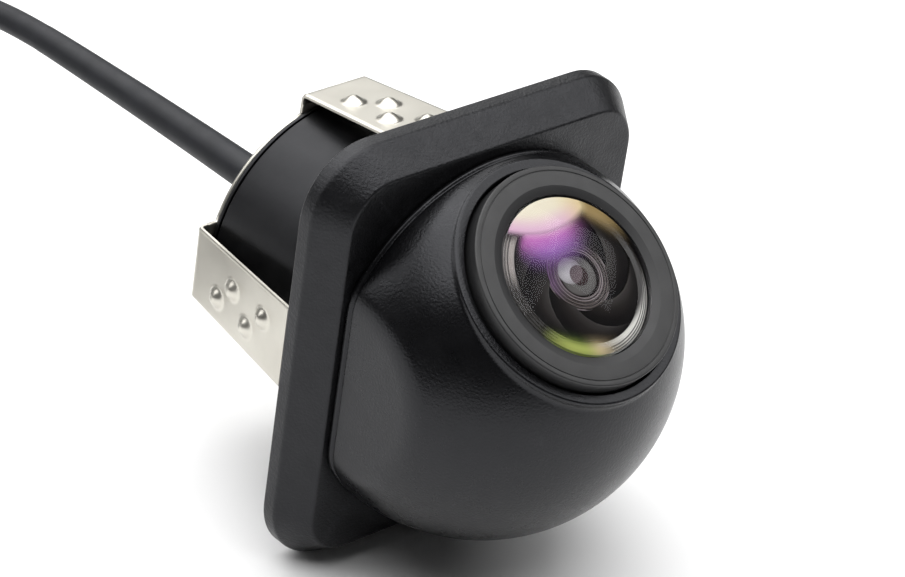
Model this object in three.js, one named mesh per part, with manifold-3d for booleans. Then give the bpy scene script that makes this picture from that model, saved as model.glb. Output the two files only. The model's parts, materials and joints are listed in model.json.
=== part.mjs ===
// Flush-mount reversing camera for a 22 mm panel hole: a domed head with a tilted lens, a square
// flange, a round barrel with a four-leg spring retainer, and a lead that ends in a 4-pin plug.
//
// Millimetres, +Z up. +Y runs along the barrel, into the panel, and the lens looks along -Y and up.
// The origin is under the middle of the camera, at the level of the flange's flat bottom edge.
import * as THREE from "three";
import { mergeVertices } from "three/addons/utils/BufferGeometryUtils.js";
import Module from "manifold-3d";

const wasm = await Module();
wasm.setup();

// ---------------------------------------------------------------- driving dimensions

const GAP = 0.3; // clearance between pieces that touch on the real object
const SEAT_GAP = 0.1; // clearance between flat faces that lie against each other

// The camera's own space: y = 0 is the flange's front face, z = 0 is the barrel's axis.
const FLANGE_WIDTH = 26;
const FLANGE_HEIGHT = 29.4;
const FLANGE_THICKNESS = 3.1;
const FLANGE_RIM = 1.05; // straight edge at the back, before the side wall slants in
const FLANGE_INSET = 1.45; // how far the slanted wall comes in at the front
const FLANGE_CORNER = 4.55;
const SPIGOT_HOLE = 9.5; // radius of the pocket that takes the head
const SPIGOT_DEPTH = 2.4;
const SPIGOT_BORE = 8.3;
const SEAL_RADIUS = 10.35; // ring between the head and the flange
const SEAL_SECTION = 0.32;

const BARREL_RADIUS = 9.2;
const BARREL_BORE = 7.9;
const BARREL_REAR = 14.5;
const CAP_FRONT = 13.6;
const CAP_REAR = 14.9;
const CAP_HOLE = 2.2;
const CAP_CHAMFER = 0.15;
const GLAND_BORE = 1.45;
const GLAND_RADIUS = 1.9;
const GLAND_FRONT = 13.2;
const GLAND_REAR = 15.35;

const DOME_RADIUS = 12.6;
const DOME_CENTRE_Y = -0.93;
const DOME_INNER = 11;
const FACET_X = 11.13; // flat cut on each side of the dome
const COLLAR_RADIUS = 8.05; // flat collar around the lens
const COLLAR_HEIGHT = 10.05;
const LENS_HOLE = 7.45;

const LENS_TILT = THREE.MathUtils.degToRad(52); // above the barrel's axis
const LENS_DROP = 0.4; // the lens axis passes this far below the dome's centre
const LENS_FRONT = 10.95; // the retaining ring's face, from the dome's centre
const LENS_RADIUS = 7.2;
const RING_BORE = 5.4;
const GLASS_RADIUS = 5.2;

const PLATE_FRONT = 15; // the spring's rear plate, behind the cap
const PLATE_REAR = 15.3;
const PLATE_RADIUS = 9;
const PLATE_HOLE = 2.3;
const LEG_REAR = 14.65;
const LEG_FRONT = 4.4;
const LEG_RADIUS = 10.2; // outer face of a leg where it leaves the rear plate
const LEG_SPLAY = THREE.MathUtils.degToRad(8.5);
const LEG_THICKNESS = 0.4;
const LEG_WIDTH_REAR = 5.1;
const LEG_WIDTH_FRONT = 5.75;

const CORD_DIAMETER = 1.9;
const RELIEF_DIAMETER = 2.5; // the moulded sleeve at the barrel
const COIL_MIDDLE_RADIUS = 10.5;
const COIL_HALF_WIDTH = 3.9; // four turns side by side
const COIL_BOTTOM = 0.35;
const COIL_TOP = 8; // four layers
const COIL_EDGE = 0.8;
const COIL_CENTRE = new THREE.Vector2(-14, 78);
const STRAP_WIDTH = 2.6;
const STRAP_THICKNESS = 0.5;

// The camera stands with its bounding box centred on the origin.
const CAMERA_Y = -0.785;
const CAMERA_Z = FLANGE_HEIGHT / 2;

const BEYOND = 40; // larger than the head, for cutting tools

// Segments around a revolved piece
const FINE = 40;
const MEDIUM = 24;
const COARSE = 16;

// ---------------------------------------------------------------- materials

function material(color, roughness, metalness = 0) {
  return new THREE.MeshStandardMaterial({ color, roughness, metalness });
}

const blackPlastic = () => material(0x1b1b1d, 0.62);
const satinPlastic = () => material(0x18181a, 0.45);
const greyRing = () => material(0x2e2f31, 0.4);
const blackMetal = () => material(0x151515, 0.5, 0.6);
const nickel = () => material(0xcfc9c0, 0.28, 1);
const steel = () => material(0xb5b6b8, 0.3, 1);
const gold = () => material(0xc9a349, 0.3, 1);
const rubber = () => material(0x202022, 0.8);
const cordJacket = () => material(0x3a3a40, 0.6);
const epoxy = () => material(0x101010, 0.35);
const circuitBoard = () => material(0x1d4a2a, 0.5);
const chipPlastic = () => material(0x151517, 0.55);
const whitePlastic = () => material(0xe6e2d6, 0.5);
const flexFilm = () => material(0xa0612a, 0.4);
const silicon = () => material(0x3b4a5a, 0.15, 0.3);

function glass(color, opacity) {
  return new THREE.MeshStandardMaterial({ color, roughness: 0.05, transparent: true, opacity });
}

// ---------------------------------------------------------------- helpers

function named(name, geometry, surface) {
  const mesh = new THREE.Mesh(geometry, surface);
  mesh.name = name;
  return mesh;
}

// A closed mesh as a solid that can be joined and cut.
function toSolid(geometry) {
  const bare = geometry.index ? geometry.toNonIndexed() : geometry.clone();
  bare.deleteAttribute("normal");
  bare.deleteAttribute("uv");
  const merged = mergeVertices(bare, 1e-4);
  return new wasm.Manifold(
    new wasm.Mesh({
      numProp: 3,
      vertProperties: merged.attributes.position.array,
      triVerts: new Uint32Array(merged.index.array),
    }),
  );
}

function toGeometry(solid) {
  const { vertProperties, triVerts } = solid.getMesh();
  const geometry = new THREE.BufferGeometry();
  geometry.setAttribute("position", new THREE.BufferAttribute(vertProperties, 3));
  geometry.setIndex(new THREE.BufferAttribute(triVerts, 1));
  geometry.computeVertexNormals();
  return geometry;
}

function join(first, ...others) {
  return toGeometry(others.reduce((sum, next) => sum.add(toSolid(next)), toSolid(first)));
}

function cut(first, ...others) {
  return toGeometry(others.reduce((rest, next) => rest.subtract(toSolid(next)), toSolid(first)));
}

function common(first, second) {
  return toGeometry(toSolid(first).intersect(toSolid(second)));
}

// A closed outline of [radius, y] points, revolved about the Y axis. The outline may be given in
// either direction: it is turned so that the faces point outwards.
function revolve(outline, segments = MEDIUM) {
  let area = 0;
  outline.forEach(([r, y], i) => {
    const [nextR, nextY] = outline[(i + 1) % outline.length];
    area += r * nextY - nextR * y;
  });
  const ordered = area > 0 ? outline : [...outline].reverse();
  const start = ordered.findIndex(([r], i) => r === 0 && ordered.at(i - 1)[0] === 0);
  const points = start < 0 ? [...ordered, ordered[0]] : [...ordered.slice(start), ...ordered.slice(0, start)];
  return new THREE.LatheGeometry(
    points.map(([r, y]) => new THREE.Vector2(r, y)),
    segments,
  );
}

function disc(radius, y0, y1, segments = MEDIUM) {
  return revolve([[0, y0], [radius, y0], [radius, y1], [0, y1]], segments);
}

function ring(inner, outer, y0, y1, segments = MEDIUM) {
  return revolve([[inner, y0], [outer, y0], [outer, y1], [inner, y1]], segments);
}

function box(width, depth, height, x = 0, y = 0, z = 0) {
  return new THREE.BoxGeometry(width, depth, height).translate(x, y, z);
}

// A solid torus about the Y axis.
function torus(radius, section, y, segments = MEDIUM) {
  const sides = 6;
  const outline = Array.from({ length: sides }, (_, i) => {
    const angle = (i / sides) * 2 * Math.PI;
    return [radius + section * Math.cos(angle), y + section * Math.sin(angle)];
  });
  return revolve(outline, segments);
}

// Points of a shallow spherical cap from its rim to its apex on the axis.
function capPoints(rimRadius, rimY, apexY, steps) {
  return Array.from({ length: steps + 1 }, (_, i) => {
    const r = rimRadius * (1 - i / steps);
    return [r, apexY + (rimY - apexY) * (r / rimRadius) ** 2];
  });
}

function roundedRectangle(width, height, radius) {
  const x = width / 2;
  const z = height / 2;
  const shape = new THREE.Shape();
  shape.moveTo(x, -z + radius);
  shape.absarc(x - radius, z - radius, radius, 0, Math.PI / 2);
  shape.absarc(-x + radius, z - radius, radius, Math.PI / 2, Math.PI);
  shape.absarc(-x + radius, -z + radius, radius, Math.PI, 1.5 * Math.PI);
  shape.absarc(x - radius, -z + radius, radius, 1.5 * Math.PI, 2 * Math.PI);
  return shape;
}

// A round section swept along a smooth curve through the points.
function sweep(points, radius, steps, sides = 8) {
  const section = new THREE.Shape();
  section.absarc(0, 0, radius, 0, 2 * Math.PI);
  return new THREE.ExtrudeGeometry(section, {
    steps,
    curveSegments: sides,
    extrudePath: new THREE.CatmullRomCurve3(points, false, "centripetal"),
  });
}

// ---------------------------------------------------------------- housing

function flangeHousing() {
  const outline = roundedRectangle(FLANGE_WIDTH, FLANGE_HEIGHT, FLANGE_CORNER);
  const plate = new THREE.ExtrudeGeometry(outline, {
    depth: 2 * FLANGE_RIM,
    bevelThickness: FLANGE_THICKNESS - FLANGE_RIM,
    bevelSize: FLANGE_INSET,
    bevelOffset: -FLANGE_INSET,
    bevelSegments: 1,
    curveSegments: 6,
  });
  plate.rotateX(Math.PI / 2);
  plate.translate(0, FLANGE_THICKNESS + FLANGE_RIM, 0);
  const behind = box(BEYOND, BEYOND, BEYOND, 0, FLANGE_THICKNESS + BEYOND / 2, 0);
  const tube = ring(BARREL_BORE, BARREL_RADIUS, FLANGE_THICKNESS - 0.5, BARREL_REAR, FINE);
  const pocket = disc(SPIGOT_HOLE, -1, SPIGOT_DEPTH, FINE);
  const bore = disc(BARREL_BORE, 0, FLANGE_THICKNESS + 1, FINE);
  const half = SEAL_SECTION + 0.13;
  const depth = 2 * SEAL_SECTION + 0.06;
  const sealGroove = ring(SEAL_RADIUS - half, SEAL_RADIUS + half, -1, depth, FINE);
  return join(cut(plate, behind, pocket, bore, sealGroove), tube);
}

function domeShell(lensFrame) {
  const sphere = (radius, width, height) =>
    new THREE.SphereGeometry(radius, width, height).translate(0, DOME_CENTRE_Y, 0);
  const floor = 1.3; // thickness left around the mouth, behind the cavity
  const ahead = box(2 * FACET_X, BEYOND, BEYOND, 0, -BEYOND / 2 - SEAT_GAP, 0);
  const collar = disc(COLLAR_RADIUS, COLLAR_HEIGHT / 2, COLLAR_HEIGHT, FINE).applyMatrix4(lensFrame);
  const lensHole = disc(LENS_HOLE, -2, BEYOND, FINE).applyMatrix4(lensFrame);
  const above = disc(COLLAR_RADIUS, COLLAR_HEIGHT, BEYOND, FINE).applyMatrix4(lensFrame);
  const outside = cut(common(join(sphere(DOME_RADIUS, 44, 28), collar), ahead), above);
  const cavity = common(sphere(DOME_INNER, 24, 16), box(BEYOND, BEYOND, BEYOND, 0, -BEYOND / 2 - floor, 0));
  const mouth = disc(SPIGOT_BORE, -2, SPIGOT_DEPTH + 1, FINE);
  const spigot = ring(SPIGOT_BORE, SPIGOT_HOLE - GAP, -1, SPIGOT_DEPTH - GAP, FINE);
  return cut(join(cut(outside, cavity, mouth), spigot), lensHole);
}

function rearCap() {
  const outline = [
    [CAP_HOLE, CAP_FRONT],
    [BARREL_BORE - GAP, CAP_FRONT],
    [BARREL_BORE - GAP, BARREL_REAR + SEAT_GAP],
    [BARREL_RADIUS, BARREL_REAR + SEAT_GAP],
    [BARREL_RADIUS, CAP_REAR - CAP_CHAMFER],
    [BARREL_RADIUS - CAP_CHAMFER, CAP_REAR],
    [CAP_HOLE, CAP_REAR],
  ];
  return revolve(outline, FINE);
}

function housing(lensFrame) {
  const group = new THREE.Group();
  group.add(
    named("flange_housing", flangeHousing(), blackPlastic()),
    named("dome_shell", domeShell(lensFrame), satinPlastic()),
    named("dome_seal", torus(SEAL_RADIUS, SEAL_SECTION, 0.3, FINE), rubber()),
    named("rear_cap", rearCap(), blackPlastic()),
    named("cord_gland", ring(GLAND_BORE, GLAND_RADIUS, GLAND_FRONT, GLAND_REAR, COARSE), rubber()),
  );
  return group;
}

// ---------------------------------------------------------------- spring retainer

function springPlate() {
  const across = 2 * (LEG_RADIUS - 0.3);
  const middle = (PLATE_FRONT + PLATE_REAR) / 2;
  const thickness = PLATE_REAR - PLATE_FRONT;
  const upright = box(LEG_WIDTH_REAR, thickness, across, 0, middle, 0);
  const level = box(across, thickness, LEG_WIDTH_REAR, 0, middle, 0);
  const plate = join(disc(PLATE_RADIUS, PLATE_FRONT, PLATE_REAR, FINE), upright, level);
  return cut(plate, disc(PLATE_HOLE, PLATE_FRONT - 1, PLATE_REAR + 1, COARSE));
}

// A flat tapered leg, hinged at its rear end: local +X runs forwards along the barrel and local +Z
// points away from it.
function springLeg() {
  const length = (LEG_REAR - LEG_FRONT) / Math.cos(LEG_SPLAY);
  const outline = new THREE.Shape();
  outline.moveTo(0, -LEG_WIDTH_REAR / 2);
  outline.lineTo(length, -LEG_WIDTH_FRONT / 2);
  outline.lineTo(length, LEG_WIDTH_FRONT / 2);
  outline.lineTo(0, LEG_WIDTH_REAR / 2);
  outline.closePath();
  const leg = new THREE.ExtrudeGeometry(outline, { depth: LEG_THICKNESS, bevelEnabled: false });
  return leg.translate(0, 0, -LEG_THICKNESS);
}

function springRetainer() {
  const group = new THREE.Group();
  group.add(named("spring_plate", springPlate(), nickel()));
  const places = { top: 0, right: 90, bottom: 180, left: 270 };
  for (const [side, degrees] of Object.entries(places)) {
    const leg = named(`spring_leg_${side}`, springLeg(), nickel());
    leg.rotation.set(0, -LEG_SPLAY, 0);
    const mount = new THREE.Group();
    mount.rotation.z = -Math.PI / 2;
    mount.position.set(0, LEG_REAR, LEG_RADIUS);
    mount.add(leg);
    const turn = new THREE.Group();
    turn.rotation.y = THREE.MathUtils.degToRad(degrees);
    turn.add(mount);
    group.add(turn);
  }
  return group;
}

// ---------------------------------------------------------------- lens and image sensor

// Built along the lens axis: local +Y points out of the lens, and y = 0 is level with the dome's
// centre.
const GLASS_SHOULDER = 5.9;
const GLASS_SEAT = 8.6; // underside of the front element
const SHOULDER_TOP = 9.7;
const RING_SHELF = 9.85; // the ring's lip, over the glass's shoulder
const RING_BOTTOM = 9.3;
const BARREL_MOUTH = 6.1;
const BARREL_BODY = 5.95; // threaded part that screws into the holder
const BARREL_TOP = 9.2;
const BARREL_BOTTOM = -0.6;
const HOLDER_BASE = 11.2;
const BOARD_HALF = 6;
const SCREW_PLACE = 4.75;
const SCREW_HOLE = 0.65;

function lensBarrel() {
  const outline = [
    [3.6, BARREL_BOTTOM],
    [BARREL_BODY, BARREL_BOTTOM],
    [BARREL_BODY, 7.3],
    [LENS_RADIUS, 7.3],
    [LENS_RADIUS, BARREL_TOP],
    [BARREL_MOUTH, BARREL_TOP],
    [BARREL_MOUTH, GLASS_SEAT - 0.15],
    [4.7, GLASS_SEAT - 0.15],
    [4.7, 2],
    [3.6, 2],
  ];
  return revolve(outline, FINE);
}

function retainingRing() {
  const outline = [
    [RING_BORE, RING_SHELF],
    [RING_BORE, LENS_FRONT - 0.55],
    [RING_BORE + 0.6, LENS_FRONT],
    [LENS_RADIUS - 0.2, LENS_FRONT],
    [LENS_RADIUS, LENS_FRONT - 0.2],
    [LENS_RADIUS, RING_BOTTOM],
    [BARREL_MOUTH, RING_BOTTOM],
    [BARREL_MOUTH, RING_SHELF],
  ];
  return revolve(outline, FINE);
}

function frontElement() {
  const outside = capPoints(GLASS_RADIUS, 10.85, 12, 5);
  const inside = capPoints(4.9, 9.45, 11.35, 4).reverse();
  const outline = [
    ...outside,
    ...inside,
    [4.9, GLASS_SEAT],
    [GLASS_SHOULDER, GLASS_SEAT],
    [GLASS_SHOULDER, SHOULDER_TOP],
    [GLASS_RADIUS, SHOULDER_TOP],
  ];
  return revolve(outline, FINE);
}

function aperturePlate() {
  return revolve([[2.5, 10.25], [2.5, 10.55], [4.5, 9.4], [4.5, 9.1]], FINE);
}

function innerCell() {
  const outline = [
    [1.75, 8.1],
    [4.5, 8.1],
    [4.5, 8.4],
    [2.3, 8.4],
    [2.3, 10.7],
    [1.75, 10.7],
  ];
  return revolve(outline, MEDIUM);
}

function innerElement() {
  return revolve([[0, 9.4], [1.6, 9.4], ...capPoints(1.6, 10.5, 10.9, 4)], MEDIUM);
}

// A lens with two bulging faces.
function biconvex(radius, y0, y1, bulge) {
  const back = capPoints(radius, y0 + bulge, y0, 4).reverse();
  return revolve([...back, ...capPoints(radius, y1 - bulge, y1, 4)], MEDIUM);
}

function lensHolder() {
  const socket = disc(7.1, 0.8, 5.5, FINE);
  const base = box(HOLDER_BASE, 4, HOLDER_BASE, 0, -1, 0);
  const thread = disc(BARREL_BODY + 0.15, BARREL_BOTTOM - GAP, 8, FINE);
  const window = disc(3.2, -4, 0, MEDIUM);
  const pocket = box(8, 2, 8, 0, -2.9, 0);
  const holes = [1, -1].map((side) =>
    disc(SCREW_HOLE, -4, 0.2, 12).translate(side * SCREW_PLACE, 0, side * SCREW_PLACE),
  );
  return cut(join(socket, base), thread, window, pocket, ...holes);
}

function sensorBoard() {
  const board = box(2 * BOARD_HALF, 0.9, 2 * BOARD_HALF, 0, -3.65, 0);
  const holes = [1, -1].map((side) =>
    disc(SCREW_HOLE, -6, 0, 12).translate(side * SCREW_PLACE, 0, side * SCREW_PLACE),
  );
  return cut(board, ...holes);
}

function holderScrew(side) {
  const screw = revolve([[0, -5], [1, -5], [1, -4.2], [0.45, -4.2], [0.45, -0.9], [0, -0.9]], 12);
  return screw.translate(side * SCREW_PLACE, 0, side * SCREW_PLACE);
}

function lensModule() {
  const group = new THREE.Group();
  group.add(
    named("lens_retaining_ring", retainingRing(), greyRing()),
    named("front_element", frontElement(), glass(0x8a6a9a, 0.35)),
    named("aperture_plate", aperturePlate(), blackMetal()),
    named("inner_cell", innerCell(), blackMetal()),
    named("inner_element", innerElement(), glass(0xb09a94, 0.5)),
    named("lens_barrel", lensBarrel(), blackMetal()),
    named("middle_element", biconvex(4.4, 5.4, 7.8, 0.7), glass(0xbfd0d8, 0.35)),
    named("element_spacer", ring(3.7, 4.4, 3.9, 5.9), blackMetal()),
    named("rear_element", biconvex(3.3, -0.2, 1.7, 0.5), glass(0xbfd0d8, 0.35)),
    named("lens_o_ring", torus(6.6, 0.4, 6.85, FINE), rubber()),
    named("lens_holder", lensHolder(), satinPlastic()),
    named("ir_filter", box(7, 0.35, 7, 0, -2.2, 0), glass(0x9ad0c8, 0.4)),
    named("image_sensor", box(5.6, 0.45, 5.6, 0, -2.85, 0), silicon()),
    named("sensor_board", sensorBoard(), circuitBoard()),
    named("holder_screw_right", holderScrew(1), steel()),
    named("holder_screw_left", holderScrew(-1), steel()),
  );
  return group;
}

// ---------------------------------------------------------------- electronics in the barrel

function flexRibbon() {
  const section = new THREE.Shape();
  section.moveTo(-2, -0.1);
  section.lineTo(2, -0.1);
  section.lineTo(2, 0.1);
  section.lineTo(-2, 0.1);
  section.closePath();
  const path = [
    [2.0, -4.4],
    [3.3, -5.5],
    [5.0, -5.6],
    [6.7, -4.9],
  ];
  return new THREE.ExtrudeGeometry(section, {
    steps: 10,
    extrudePath: new THREE.CatmullRomCurve3(path.map(([y, z]) => new THREE.Vector3(0, y, z))),
  });
}

// The round video board fills the barrel: small parts on its front face, the chip and the lead's
// socket on its rear face, and potting between the socket and the cap.
const BOARD_RADIUS = 7.2;
const BOARD_FRONT = 8;
const BOARD_REAR = 9;
const FRONT_PARTS = BOARD_FRONT - 0.6; // middle of a 0.8 mm thick part on the front face
const POTTING_FRONT = 11.6;
const POTTING_REAR = 13.1;

function electronics() {
  const capacitor = disc(1.3, BOARD_FRONT - 1.8, BOARD_FRONT - 0.2, COARSE);
  const group = new THREE.Group();
  group.add(
    named("flex_ribbon", flexRibbon(), flexFilm()),
    named("board_header", box(5.4, 0.8, 1.6, 0, FRONT_PARTS, -4.9), whitePlastic()),
    named("video_board", disc(BOARD_RADIUS, BOARD_FRONT, BOARD_REAR), circuitBoard()),
    named("video_chip", box(4.5, 0.9, 4.5, 0, BOARD_REAR + 0.65, 2.8), chipPlastic()),
    named("crystal", box(3.2, 0.8, 1.8, 2.5, FRONT_PARTS, 4.8), steel()),
    named("capacitor", capacitor.translate(-2.6, 0, 4.8), chipPlastic()),
    named("wire_socket", box(6, 2, 2.4, 0, BOARD_REAR + 1.2, -3.6), whitePlastic()),
    named("rear_potting", ring(1.5, BARREL_BORE - GAP, POTTING_FRONT, POTTING_REAR), epoxy()),
  );
  return group;
}

// ---------------------------------------------------------------- lead, coil and plug

const CORD_HEIGHT = CAMERA_Z;
const vector = ([x, y, z]) => new THREE.Vector3(x, y, z);

// Lead from the barrel to the coil: straight out, then down and into the outer turn.
const RELIEF_START = [0, 14.93, CORD_HEIGHT];
const RELIEF_END = [0, 44, CORD_HEIGHT - 0.7];
const LEAD = [
  [0, 44.3, CORD_HEIGHT - 0.72],
  [0, 49, CORD_HEIGHT - 1.3],
  [-0.1, 55, CORD_HEIGHT - 2.6],
  [-0.3, 60, CORD_HEIGHT - 4.6],
  [-0.5, 65.5, CORD_HEIGHT - 6.4],
  [-0.66, 70.5, CORD_HEIGHT - 7.3],
];

// Tail from the coil to the plug, which lies beside it.
const TAIL = [
  [-27.75, 70.2, 2.2],
  [-26.6, 65.5, 3.4],
  [-24.2, 61.5, 4.3],
  [-23.1, 58.5, 4.7],
];
const PLUG_PLACE = [-23, 58, 4.7];

// The sleeve's section shrinks from the barrel's end to the cord's own diameter.
function reliefSleeve() {
  const start = vector(RELIEF_START);
  const end = vector(RELIEF_END);
  const length = start.distanceTo(end);
  const outline = [
    [0, 0],
    [RELIEF_DIAMETER / 2, 0],
    [RELIEF_DIAMETER / 2, 4],
    [CORD_DIAMETER / 2, length],
    [0, length],
  ];
  const sleeve = revolve(outline, 12);
  const turn = new THREE.Quaternion().setFromUnitVectors(
    new THREE.Vector3(0, 1, 0),
    end.sub(start).normalize(),
  );
  return sleeve.applyQuaternion(turn).translate(start.x, start.y, start.z);
}

function coilRing() {
  const inner = COIL_MIDDLE_RADIUS - COIL_HALF_WIDTH;
  const outer = COIL_MIDDLE_RADIUS + COIL_HALF_WIDTH;
  const outline = [
    [inner + COIL_EDGE, COIL_BOTTOM],
    [outer - COIL_EDGE, COIL_BOTTOM],
    [outer, COIL_BOTTOM + COIL_EDGE],
    [outer, COIL_TOP - COIL_EDGE],
    [outer - COIL_EDGE, COIL_TOP],
    [inner + COIL_EDGE, COIL_TOP],
    [inner, COIL_TOP - COIL_EDGE],
    [inner, COIL_BOTTOM + COIL_EDGE],
  ];
  const upright = revolve(outline, FINE).rotateX(Math.PI / 2);
  return upright.translate(COIL_CENTRE.x, COIL_CENTRE.y, 0);
}

// An arch of strap over the coil's section, on the side nearest the barrel.
function coilTie() {
  const across = 2 * (COIL_HALF_WIDTH + GAP + STRAP_THICKNESS);
  const top = COIL_TOP + GAP + STRAP_THICKNESS;
  const strap = box(STRAP_WIDTH, across, top, 0, 0, top / 2);
  const inside = box(
    STRAP_WIDTH + 2,
    across - 2 * STRAP_THICKNESS,
    top,
    0,
    0,
    top / 2 - STRAP_THICKNESS,
  );
  const place = COIL_CENTRE.y - COIL_MIDDLE_RADIUS;
  return cut(strap, inside).translate(COIL_CENTRE.x, place, 0);
}

function cord() {
  const group = new THREE.Group();
  group.add(
    named("strain_relief", reliefSleeve(), cordJacket()),
    named("cord_lead", sweep(LEAD.map(vector), CORD_DIAMETER / 2, 8), cordJacket()),
    named("cord_coil", coilRing(), cordJacket()),
    named("coil_tie", coilTie(), rubber()),
    named("cord_tail", sweep(TAIL.map(vector), CORD_DIAMETER / 2, 5), cordJacket()),
  );
  return group;
}

// Built along local +Y, from the cord to the mating face.
const BOOT_LENGTH = 9;
const PLUG_BODY = 3.9; // radius of the grip, behind the nut
const PLUG_SLEEVE = 3;
const SLEEVE_START = 14.8;
const SLEEVE_END = 24;
const SLEEVE_FLOOR = 15.5;
const NUT_RADIUS = 4.5;
const PIN_CIRCLE = 1.1;

function plugBody() {
  const outline = [
    [0, BOOT_LENGTH + GAP],
    [PLUG_BODY, BOOT_LENGTH + GAP],
    [PLUG_BODY, SLEEVE_START],
    [PLUG_SLEEVE, SLEEVE_START],
    [PLUG_SLEEVE, SLEEVE_END],
    [PLUG_SLEEVE - 0.5, SLEEVE_END],
    [PLUG_SLEEVE - 0.5, SLEEVE_FLOOR],
    [0, SLEEVE_FLOOR],
  ];
  return revolve(outline, MEDIUM);
}

function plugNut() {
  const grips = 12;
  const nut = ring(PLUG_SLEEVE + GAP, NUT_RADIUS, SLEEVE_START + GAP, SLEEVE_END + 1.2, MEDIUM);
  const reach = NUT_RADIUS + 0.15;
  const grooves = Array.from({ length: grips }, (_, i) => {
    const angle = ((i + 0.5) / grips) * 2 * Math.PI;
    return disc(0.5, SLEEVE_START - 1, 22, 8).translate(reach * Math.cos(angle), 0, reach * Math.sin(angle));
  });
  return cut(nut, ...grooves);
}

function plug() {
  const group = new THREE.Group();
  group.add(
    named("plug_boot", revolve([[0, 0], [1.2, 0], [2.6, BOOT_LENGTH], [0, BOOT_LENGTH]]), rubber()),
    named("plug_body", plugBody(), blackPlastic()),
    named("plug_insert", disc(2.2, SLEEVE_FLOOR + GAP, 19.2), blackPlastic()),
    named("plug_seal", ring(1.7, 2.3, 19.4, 19.9), rubber()),
    named("plug_nut", plugNut(), blackPlastic()),
  );
  for (let i = 0; i < 4; i++) {
    const angle = ((i + 0.5) / 4) * 2 * Math.PI;
    const place = [PIN_CIRCLE * Math.cos(angle), 0, PIN_CIRCLE * Math.sin(angle)];
    const pin = disc(0.35, 19.4, 23.2, 10).translate(...place);
    group.add(named(`plug_pin_${i + 1}`, pin, gold()));
  }
  group.rotation.z = Math.PI;
  group.position.copy(vector(PLUG_PLACE));
  return group;
}

// ---------------------------------------------------------------- assembly

const lens = lensModule();
lens.rotation.x = Math.PI - LENS_TILT;
lens.position.set(0, DOME_CENTRE_Y - LENS_DROP * Math.sin(LENS_TILT), -LENS_DROP * Math.cos(LENS_TILT));
lens.updateMatrix();

const camera = new THREE.Group();
camera.add(housing(lens.matrix), springRetainer(), lens, electronics());
camera.position.set(0, CAMERA_Y, CAMERA_Z);

const object = new THREE.Group();
object.add(camera, cord(), plug());

export default object;
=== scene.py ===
# Flush-mount reversing camera for a 22 mm panel hole: the looks of its head, flange, barrel, spring
# retainer, lens, lead and plug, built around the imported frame. Metres, +Z up, lens towards -Y.
import json
import math

import bmesh
import bpy
import numpy as np
from mathutils import Matrix, Vector


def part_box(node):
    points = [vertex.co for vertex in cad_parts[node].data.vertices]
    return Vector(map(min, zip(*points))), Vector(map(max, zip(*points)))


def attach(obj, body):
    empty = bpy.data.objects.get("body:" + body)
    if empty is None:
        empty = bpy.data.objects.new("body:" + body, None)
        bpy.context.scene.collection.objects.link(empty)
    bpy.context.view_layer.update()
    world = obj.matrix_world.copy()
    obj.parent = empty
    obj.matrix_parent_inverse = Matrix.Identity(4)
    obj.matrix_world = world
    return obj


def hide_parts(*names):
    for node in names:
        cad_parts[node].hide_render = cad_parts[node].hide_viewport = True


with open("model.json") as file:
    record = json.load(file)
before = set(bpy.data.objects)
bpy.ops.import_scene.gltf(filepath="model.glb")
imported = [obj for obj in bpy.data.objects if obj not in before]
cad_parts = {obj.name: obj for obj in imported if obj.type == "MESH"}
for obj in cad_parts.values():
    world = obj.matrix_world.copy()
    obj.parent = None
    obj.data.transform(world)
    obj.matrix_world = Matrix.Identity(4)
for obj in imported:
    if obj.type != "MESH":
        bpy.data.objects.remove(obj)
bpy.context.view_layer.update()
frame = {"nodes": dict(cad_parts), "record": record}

MM = 0.001
TURN = 2 * math.pi

# ---- places, from the frame

flange_low, flange_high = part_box("flange_housing")
gland_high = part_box("cord_gland")[1]
FRONT_Y = flange_low.y
AXIS_Z = (flange_low.z + flange_high.z) / 2

# The camera's own space, in millimetres: y = 0 is the flange's front face, and z = 0 is the
# barrel's axis.
CAMERA_SPACE = Matrix.Translation((0, FRONT_Y, AXIS_Z)) @ Matrix.Scale(MM, 4)
PART_SPACE = Matrix.Scale(MM, 4)
AXIS_MM = AXIS_Z / MM

# ---- dimensions, in millimetres

FLANGE_WIDTH = (flange_high.x - flange_low.x) / MM
FLANGE_HEIGHT = (flange_high.z - flange_low.z) / MM
FLANGE_THICKNESS = 3.1
FLANGE_RIM = 1.05
FLANGE_INSET = 1.45
FLANGE_CORNER = 4.55
SPIGOT_HOLE = 9.5
SPIGOT_DEPTH = 2.4
BARREL_RADIUS = 9.2
BARREL_BORE = 7.9
BARREL_REAR = 14.5
CAP_FRONT = 13.6
CAP_REAR = 14.9

DOME_RADIUS = 12.6
DOME_CENTRE_Y = -0.93
DOME_INNER = 11
FACET_X = 11.13
COLLAR_RADIUS = 8.05
COLLAR_HEIGHT = 10.05
LENS_HOLE = 7.36

LENS_TILT = math.radians(52)
LENS_DROP = 0.4
LENS_FRONT = 10.95
LENS_RADIUS = 7.21
GLASS_RADIUS = 5.24

LEG_REAR = 14.65
LEG_FRONT = 4.4
LEG_RADIUS = 10.2
LEG_SPLAY = math.radians(8.5)
LEG_THICKNESS = 0.4
LEG_WIDTH_REAR = 5.1
LEG_WIDTH_FRONT = 5.75

CORD_DIAMETER = 1.9
RELIEF_DIAMETER = 2.5

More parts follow.
